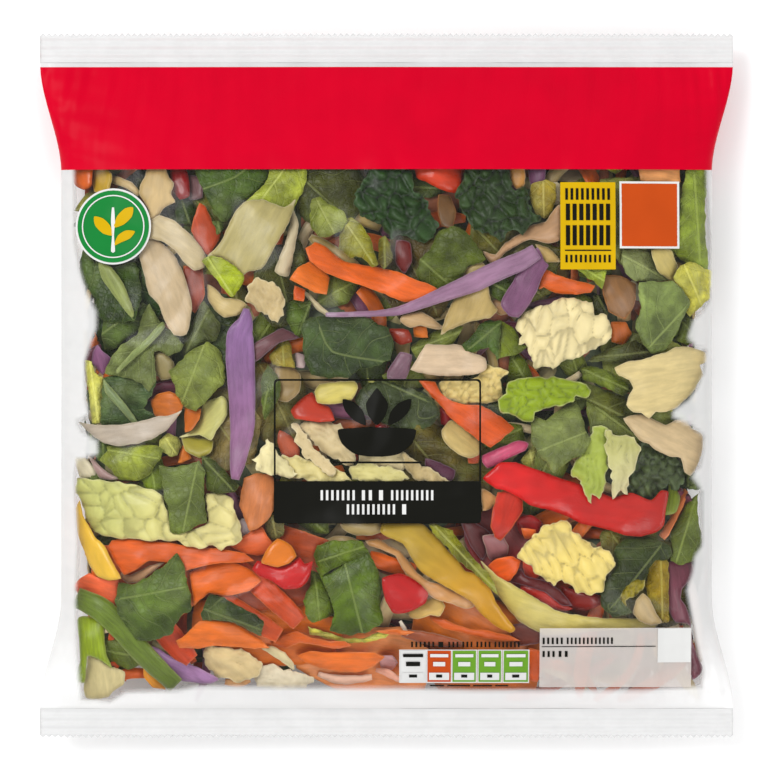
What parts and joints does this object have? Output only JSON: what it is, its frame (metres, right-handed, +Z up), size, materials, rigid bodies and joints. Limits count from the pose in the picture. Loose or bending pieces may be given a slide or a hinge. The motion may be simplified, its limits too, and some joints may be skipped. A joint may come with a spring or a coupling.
{
  "type": "bag of stir-fry vegetables",
  "caption": "Sealed clear-film pillow bag with crimped, toothed ends, packed with cut mixed vegetables for stir-frying and lying on its back.",
  "frame": {"origin": "under the middle of the bag, on the surface that it lies on", "axes": "+X to the bag's right, +Y towards its head with the printed band, +Z up through its front face"},
  "size_m": [0.25, 0.254, 0.049],
  "materials": {
    "filled_film": "clear film over mixed cut vegetables",
    "clear_film": "clear, slightly hazy polypropylene film",
    "seal_film": "crimped double film, milky",
    "print_red": "solid bright red ink under gloss film",
    "print_black": "solid black ink",
    "print_white": "white ink",
    "print_frost": "thin see-through white ink",
    "print_yellow": "solid yellow ink",
    "print_orange": "solid orange ink",
    "print_green": "solid green ink",
    "green_leaf": "waxy dark green leaf with pale veins",
    "pale_leaf": "yellow-green cabbage leaf",
    "crinkled_leaf": "pale blistered cabbage heart",
    "carrot": "moist cut carrot",
    "red_cabbage": "waxy purple shred with a pale edge",
    "red_pepper": "glossy red skin",
    "yellow_pepper": "glossy yellow skin",
    "white_stalk": "cream stalk and onion flesh",
    "green_stalk": "smooth ribbed green stalk"
  },
  "bodies": {
    "root": {"bag": "filled_film"}
  },
  "joints": []
}
